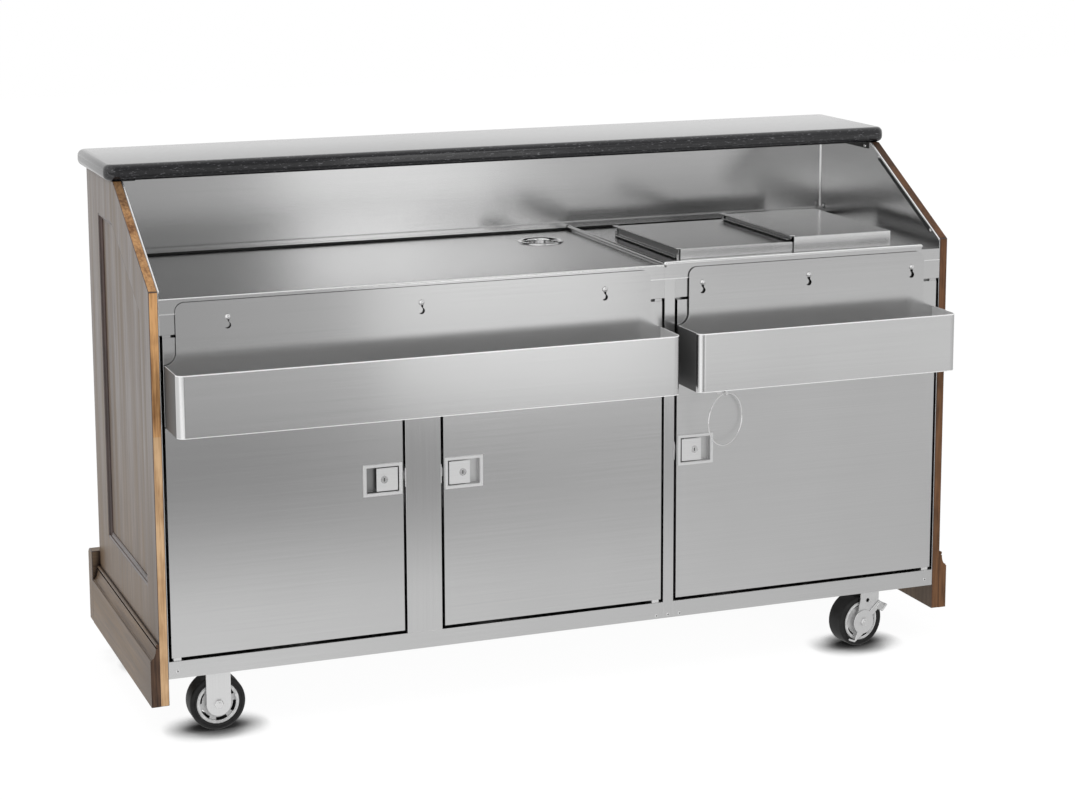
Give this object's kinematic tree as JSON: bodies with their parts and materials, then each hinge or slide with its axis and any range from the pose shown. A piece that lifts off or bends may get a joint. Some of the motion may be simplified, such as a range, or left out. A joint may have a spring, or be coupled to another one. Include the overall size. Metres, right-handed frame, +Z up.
{
  "type": "mobile bar cart",
  "caption": "Portable bar on casters: wood panels, stone-look top, stainless worktop with lidded ice bin, drain, hung speed rails and paddle-latched doors.",
  "frame": {"origin": "on the floor under the middle of the cart's bounding box", "axes": "+X along the cart, to the right of the bartender; +Y towards the customers; +Z up"},
  "size_m": [2, 0.822, 1.242],
  "materials": {
    "wood": "satin stain on the faces, raw front edges",
    "slab": "polished, dark with fine speckle",
    "steel": "brushed stainless",
    "latch": "satin stainless",
    "hardware": "bright",
    "zinc": "bright zinc plate",
    "tyre": "matt rubber",
    "core": "moulded, light grey"
  },
  "bodies": {
    "cart": {"left_side_panel": "wood", "right_side_panel": "wood", "customer_panel": "wood", "left_base_moulding": "wood", "right_base_moulding": "wood", "customer_base_moulding": "wood", "bar_top": "slab", "left_liner": "steel", "right_liner": "steel", "backsplash": "steel", "cabinet_back": "steel", "worktop": "steel", "ice_deck": "steel", "ice_bin": "steel", "drain_cup": "steel", "cabinet_floor": "steel", "divider": "steel", "header": "steel", "centre_stile": "steel", "divider_post": "steel", "front_rail": "steel", "rear_rail": "steel", "caster_carriers": "steel", "upper_panels": "steel", "door_pivots": "hardware", "strikes": "hardware", "hanging_studs": "hardware", "rigid_forks": "zinc", "swivel_plates": "zinc"},
    "left_door": {"left_door": "steel", "left_latch_tray": "latch"},
    "middle_door": {"middle_door": "steel", "middle_latch_tray": "latch"},
    "right_door": {"right_door": "steel", "right_latch_tray": "latch", "ring_eye": "hardware"},
    "left_paddle": {"left_paddle": "latch"},
    "middle_paddle": {"middle_paddle": "latch"},
    "right_paddle": {"right_paddle": "latch"},
    "left_bolt": {"left_bolt": "hardware"},
    "middle_bolt": {"middle_bolt": "hardware"},
    "right_bolt": {"right_bolt": "hardware"},
    "towel_ring": {"towel_ring": "hardware"},
    "long_speed_rail": {"long_speed_rail": "steel"},
    "short_speed_rail": {"short_speed_rail": "steel"},
    "lower_lid": {"lower_lid": "steel"},
    "upper_lid": {"upper_lid": "steel"},
    "drain_strainer": {"drain_strainer": "steel"},
    "front_swivel": {"front_swivel_fork": "zinc"},
    "rear_swivel": {"rear_swivel_fork": "zinc"},
    "front_brake": {"front_brake": "zinc"},
    "rear_brake": {"rear_brake": "zinc"},
    "front_rigid_wheel": {"front_rigid_tyre": "tyre", "front_rigid_core": "core"},
    "rear_rigid_wheel": {"rear_rigid_tyre": "tyre", "rear_rigid_core": "core"},
    "front_swivel_wheel": {"front_swivel_tyre": "tyre", "front_swivel_core": "core"},
    "rear_swivel_wheel": {"rear_swivel_tyre": "tyre", "rear_swivel_core": "core"}
  },
  "joints": [
    {"name": "left_door_swing", "type": "hinge", "parent": "cart", "child": "left_door", "pos_m": [-0.939, -0.279, 0.446], "axis": [0, 0, -1], "range_deg": [0, 105]},
    {"name": "left_paddle_lift", "type": "hinge", "parent": "left_door", "child": "left_paddle", "pos_m": [-0.427, -0.287, 0.545], "axis": [0, 0, 1], "range_deg": [0, 35], "stiffness_Nm_per_rad": 0.12},
    {"name": "left_bolt_slide", "type": "slide", "parent": "left_door", "child": "left_bolt", "axis": [-1, 0, 0], "range_m": [0, 0.008]},
    {"name": "middle_door_swing", "type": "hinge", "parent": "cart", "child": "middle_door", "pos_m": [0.212, -0.279, 0.446], "axis": [0, 0, 1], "range_deg": [0, 105]},
    {"name": "middle_paddle_lift", "type": "hinge", "parent": "middle_door", "child": "middle_paddle", "pos_m": [-0.3, -0.287, 0.545], "axis": [0, 0, -1], "range_deg": [0, 35], "stiffness_Nm_per_rad": 0.12},
    {"name": "middle_bolt_slide", "type": "slide", "parent": "middle_door", "child": "middle_bolt", "axis": [1, 0, 0], "range_m": [0, 0.008]},
    {"name": "right_door_swing", "type": "hinge", "parent": "cart", "child": "right_door", "pos_m": [0.939, -0.279, 0.446], "axis": [0, 0, 1], "range_deg": [0, 105]},
    {"name": "right_paddle_lift", "type": "hinge", "parent": "right_door", "child": "right_paddle", "pos_m": [0.279, -0.287, 0.545], "axis": [0, 0, -1], "range_deg": [0, 35], "stiffness_Nm_per_rad": 0.12},
    {"name": "right_bolt_slide", "type": "slide", "parent": "right_door", "child": "right_bolt", "axis": [1, 0, 0], "range_m": [0, 0.008]},
    {"name": "ring_swing", "type": "hinge", "parent": "right_door", "child": "towel_ring", "pos_m": [0.373, -0.325, 0.683], "axis": [-1, 0, 0], "range_deg": [0, 60]},
    {"name": "long_rail_lift", "type": "slide", "parent": "cart", "child": "long_speed_rail", "axis": [0, 0, 1], "range_m": [0, 0.019]},
    {"name": "short_rail_lift", "type": "slide", "parent": "cart", "child": "short_speed_rail", "axis": [0, 0, 1], "range_m": [0, 0.019]},
    {"name": "lower_lid_slide", "type": "slide", "parent": "cart", "child": "lower_lid", "axis": [1, 0, 0], "range_m": [0, 0.24]},
    {"name": "upper_lid_slide", "type": "slide", "parent": "cart", "child": "upper_lid", "axis": [-1, 0, 0], "range_m": [0, 0.24]},
    {"name": "strainer_lift", "type": "slide", "parent": "cart", "child": "drain_strainer", "axis": [0, 0, 1], "range_m": [0, 0.07]},
    {"name": "front_caster_swivel", "type": "hinge", "parent": "cart", "child": "front_swivel", "pos_m": [0.79, -0.244, 0.142], "axis": [0, 0, 1], "continuous": true},
    {"name": "front_swivel_wheel_spin", "type": "hinge", "parent": "front_swivel", "child": "front_swivel_wheel", "pos_m": [0.76833, -0.24782, 0.0635], "axis": [-0.1736, 0.9848, 0], "continuous": true},
    {"name": "front_brake_press", "type": "hinge", "parent": "front_swivel", "child": "front_brake", "pos_m": [0.76833, -0.24782, 0.0635], "axis": [-0.1736, 0.9848, 0], "range_deg": [0, 15]},
    {"name": "front_rigid_wheel_spin", "type": "hinge", "parent": "cart", "child": "front_rigid_wheel", "pos_m": [-0.846, -0.244, 0.0635], "axis": [0, 1, 0], "continuous": true},
    {"name": "rear_caster_swivel", "type": "hinge", "parent": "cart", "child": "rear_swivel", "pos_m": [0.79, 0.236, 0.142], "axis": [0, 0, 1], "continuous": true},
    {"name": "rear_swivel_wheel_spin", "type": "hinge", "parent": "rear_swivel", "child": "rear_swivel_wheel", "pos_m": [0.76833, 0.23218, 0.0635], "axis": [-0.1736, 0.9848, 0], "continuous": true},
    {"name": "rear_brake_press", "type": "hinge", "parent": "rear_swivel", "child": "rear_brake", "pos_m": [0.76833, 0.23218, 0.0635], "axis": [-0.1736, 0.9848, 0], "range_deg": [0, 15]},
    {"name": "rear_rigid_wheel_spin", "type": "hinge", "parent": "cart", "child": "rear_rigid_wheel", "pos_m": [-0.846, 0.236, 0.0635], "axis": [0, 1, 0], "continuous": true}
  ],
  "couplings": [
    {"joint": "left_bolt_slide", "follows": "left_paddle_lift", "m_per_rad": 0.01309},
    {"joint": "middle_bolt_slide", "follows": "middle_paddle_lift", "m_per_rad": 0.01309},
    {"joint": "right_bolt_slide", "follows": "right_paddle_lift", "m_per_rad": 0.01309}
  ]
}
